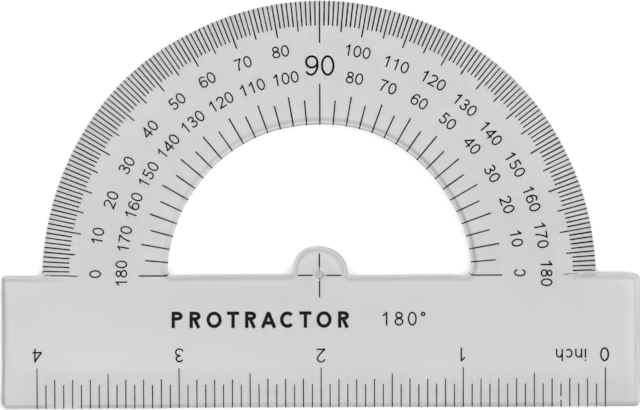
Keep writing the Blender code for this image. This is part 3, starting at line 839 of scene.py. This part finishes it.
def inch_unit_word():
    width = (0.31 + 0.80 + 0.74 + 0.80) * 2.22
    return text("inch", 2.24, 0.265, turned(47.68 - width / 2, -13.16, 180), letter)[0]


def face_label():
    quads = text("PROTRACTOR", 2.95, 0.6, turned(-10.75, -9.28, 0), letter, 0.228)[0]
    return quads + text("180°", 2.5, 0.28, turned(14.8, -8.95, 0), letter, 0.2)[0]


# ---------------------------------------------------------------- materials
def nodes_of(name):
    mat = bpy.data.materials.new(name)
    mat.use_nodes = True
    tree = mat.node_tree
    return mat, tree, tree.nodes["Principled BSDF"]


def add(tree, kind, **values):
    node = tree.nodes.new(kind)
    for key, value in values.items():
        if key in node.inputs:
            node.inputs[key].default_value = value
        else:
            setattr(node, key, value)
    return node


def plastic_material():
    mat, tree, shader = nodes_of("clear_plastic")
    links = tree.links
    place = add(tree, "ShaderNodeNewGeometry")
    shader.inputs["Transmission Weight"].default_value = 1.0
    shader.inputs["IOR"].default_value = 1.49
    shader.inputs["Roughness"].default_value = 0.03
    cloud = add(tree, "ShaderNodeTexNoise", Scale=55.0, Detail=3.0)
    links.new(place.outputs["Position"], cloud.inputs["Vector"])
    tint = add(tree, "ShaderNodeMix", data_type="RGBA")
    tint.inputs["A"].default_value = (0.925, 0.925, 0.925, 1)
    tint.inputs["B"].default_value = (0.935, 0.935, 0.935, 1)
    links.new(cloud.outputs["Fac"], tint.inputs["Factor"])
    # painted shade and highlights: the rim attribute darkens the plastic's tint, and lightens it where negative
    rim = add(tree, "ShaderNodeAttribute", attribute_name="rim")
    painted_light_factor = add(tree, "ShaderNodeMath", operation="SUBTRACT")
    painted_light_factor.inputs[0].default_value = 1.0
    links.new(rim.outputs["Fac"], painted_light_factor.inputs[1])
    painted_light_mix = add(tree, "ShaderNodeMix", data_type="RGBA", blend_type="MULTIPLY")
    painted_light_mix.inputs["Factor"].default_value = 1.0
    links.new(tint.outputs["Result"], painted_light_mix.inputs["A"])
    links.new(painted_light_factor.outputs["Value"], painted_light_mix.inputs["B"])
    links.new(painted_light_mix.outputs["Result"], shader.inputs["Base Color"])
    wave = add(tree, "ShaderNodeTexNoise", Scale=140.0, Detail=2.0)
    links.new(place.outputs["Position"], wave.inputs["Vector"])
    bump = add(tree, "ShaderNodeBump", Strength=0.02, Distance=0.0002)
    links.new(wave.outputs["Fac"], bump.inputs["Height"])
    links.new(bump.outputs["Normal"], shader.inputs["Normal"])
    return mat


def ink_material():
    mat, tree, shader = nodes_of("black_ink")
    links = tree.links
    place = add(tree, "ShaderNodeNewGeometry")
    grain = add(tree, "ShaderNodeTexNoise", Scale=2600.0, Detail=3.0)
    links.new(place.outputs["Position"], grain.inputs["Vector"])
    tone = add(tree, "ShaderNodeMix", data_type="RGBA")
    tone.inputs["A"].default_value = (0.003, 0.003, 0.003, 1)
    tone.inputs["B"].default_value = (0.012, 0.012, 0.012, 1)
    links.new(grain.outputs["Fac"], tone.inputs["Factor"])
    links.new(tone.outputs["Result"], shader.inputs["Base Color"])
    rough = add(tree, "ShaderNodeMapRange")
    rough.inputs["To Min"].default_value = 0.38
    rough.inputs["To Max"].default_value = 0.62
    links.new(grain.outputs["Fac"], rough.inputs["Value"])
    links.new(rough.outputs["Result"], shader.inputs["Roughness"])
    shader.inputs["Specular IOR Level"].default_value = 0.08
    return mat


def floor_material():
    mat, tree, shader = nodes_of("studio_floor")
    links = tree.links
    place = add(tree, "ShaderNodeNewGeometry")
    paper = add(tree, "ShaderNodeTexNoise", Scale=400.0, Detail=4.0)
    links.new(place.outputs["Position"], paper.inputs["Vector"])
    tone = add(tree, "ShaderNodeMix", data_type="RGBA")
    tone.inputs["A"].default_value = (0.90, 0.90, 0.90, 1)
    tone.inputs["B"].default_value = (0.92, 0.92, 0.92, 1)
    links.new(paper.outputs["Fac"], tone.inputs["Factor"])
    links.new(tone.outputs["Result"], shader.inputs["Base Color"])
    shader.inputs["Roughness"].default_value = 0.9
    shader.inputs["Specular IOR Level"].default_value = 0.1
    return mat


# ---------------------------------------------------------------- build
body = make_body()
body.data.materials.append(plastic_material())
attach(body, "root")
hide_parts("clear_body")

ink = ink_material()
for piece_name, node, maker in (
    ("outer_tick_print", "outer_degree_ticks", outer_degree_ticks),
    ("inner_tick_print", "inner_degree_ticks", inner_degree_ticks),
    ("outer_figure_print", "outer_degree_numerals", outer_degree_numerals),
    ("inner_figure_print", "inner_degree_numerals", inner_degree_numerals),
    ("ninety_print", "ninety_degree_numeral", ninety_degree_numeral),
    ("cross_print", "centre_cross", centre_cross),
    ("inch_tick_print", "inch_ticks", inch_ticks),
    ("inch_figure_print", "inch_numerals", inch_numerals),
    ("inch_word_print", "inch_unit_word", inch_unit_word),
    ("label_print", "face_label", face_label),
):
    ink_piece(piece_name, maker(), node, ink)

# ---------------------------------------------------------------- the studio
bm = bmesh.new()
bmesh.ops.create_grid(bm, x_segments=2, y_segments=2, size=3.0)
floor_mesh = bpy.data.meshes.new("studio_floor")
bm.to_mesh(floor_mesh)
bm.free()
floor = bpy.data.objects.new("studio_floor", floor_mesh)
bpy.context.scene.collection.objects.link(floor)
floor.location.z = -0.04 * MM
floor_mesh.materials.append(floor_material())

world = bpy.data.worlds.new("studio")
bpy.context.scene.world = world
world.use_nodes = True
tree = world.node_tree
back = tree.nodes["Background"]
coords = tree.nodes.new("ShaderNodeTexCoord")
split = tree.nodes.new("ShaderNodeSeparateXYZ")
tree.links.new(coords.outputs["Generated"], split.inputs[0])
ramp = tree.nodes.new("ShaderNodeValToRGB")
# softboxes high all round, a greyer cove below them, and the camera's own dark gear overhead
tones = ramp.color_ramp.elements
tones[0].position, tones[0].color = 0.0, (0.42, 0.42, 0.42, 1)
tones[1].position, tones[1].color = 0.06, (0.36, 0.36, 0.36, 1)
for position, level in ((0.48, 0.38), (0.6, 1.0), (0.83, 1.0), (0.89, 0.08), (1.0, 0.06)):
    tones.new(position).color = (level, level, level, 1)
tree.links.new(split.outputs["Z"], ramp.inputs["Fac"])
lean = tree.nodes.new("ShaderNodeMapRange")
lean.inputs["From Min"].default_value = -1
lean.inputs["From Max"].default_value = 1
lean.inputs["To Min"].default_value = 2.42
lean.inputs["To Max"].default_value = 2.46
tree.links.new(split.outputs["X"], lean.inputs["Value"])
tree.links.new(ramp.outputs["Color"], back.inputs["Color"])
tree.links.new(lean.outputs["Result"], back.inputs["Strength"])

light = bpy.data.lights.new("key", "AREA")
light.shape = "RECTANGLE"
light.size = 1.2
light.size_y = 0.9
light.energy = 3.0
key = bpy.data.objects.new("key", light)
bpy.context.scene.collection.objects.link(key)
key.location = (0.7, 0.5, 1.1)
key.rotation_euler = (Vector((0, 0, 0)) - key.location).to_track_quat("-Z", "Y").to_euler()

scene = bpy.context.scene
scene.view_settings.view_transform = "Standard"
scene.view_settings.look = "None"
scene.view_settings.exposure = 0.0
scene.view_settings.gamma = 1.0

FRAME_WIDTH = 0.11447
REACH = 0.9
cam = bpy.data.cameras.new("camera")
cam.type = "PERSP"
cam.sensor_width = 36.0
cam.lens = 36.0 * REACH / FRAME_WIDTH
cam.clip_start = 0.01
cam.clip_end = 20.0
camera = bpy.data.objects.new("camera", cam)
bpy.context.scene.collection.objects.link(camera)
camera.location = (-0.01 * MM, 12.665 * MM, REACH - 0.02 * MM)
camera.rotation_euler = (0, 0, math.radians(-0.168))
scene.camera = camera
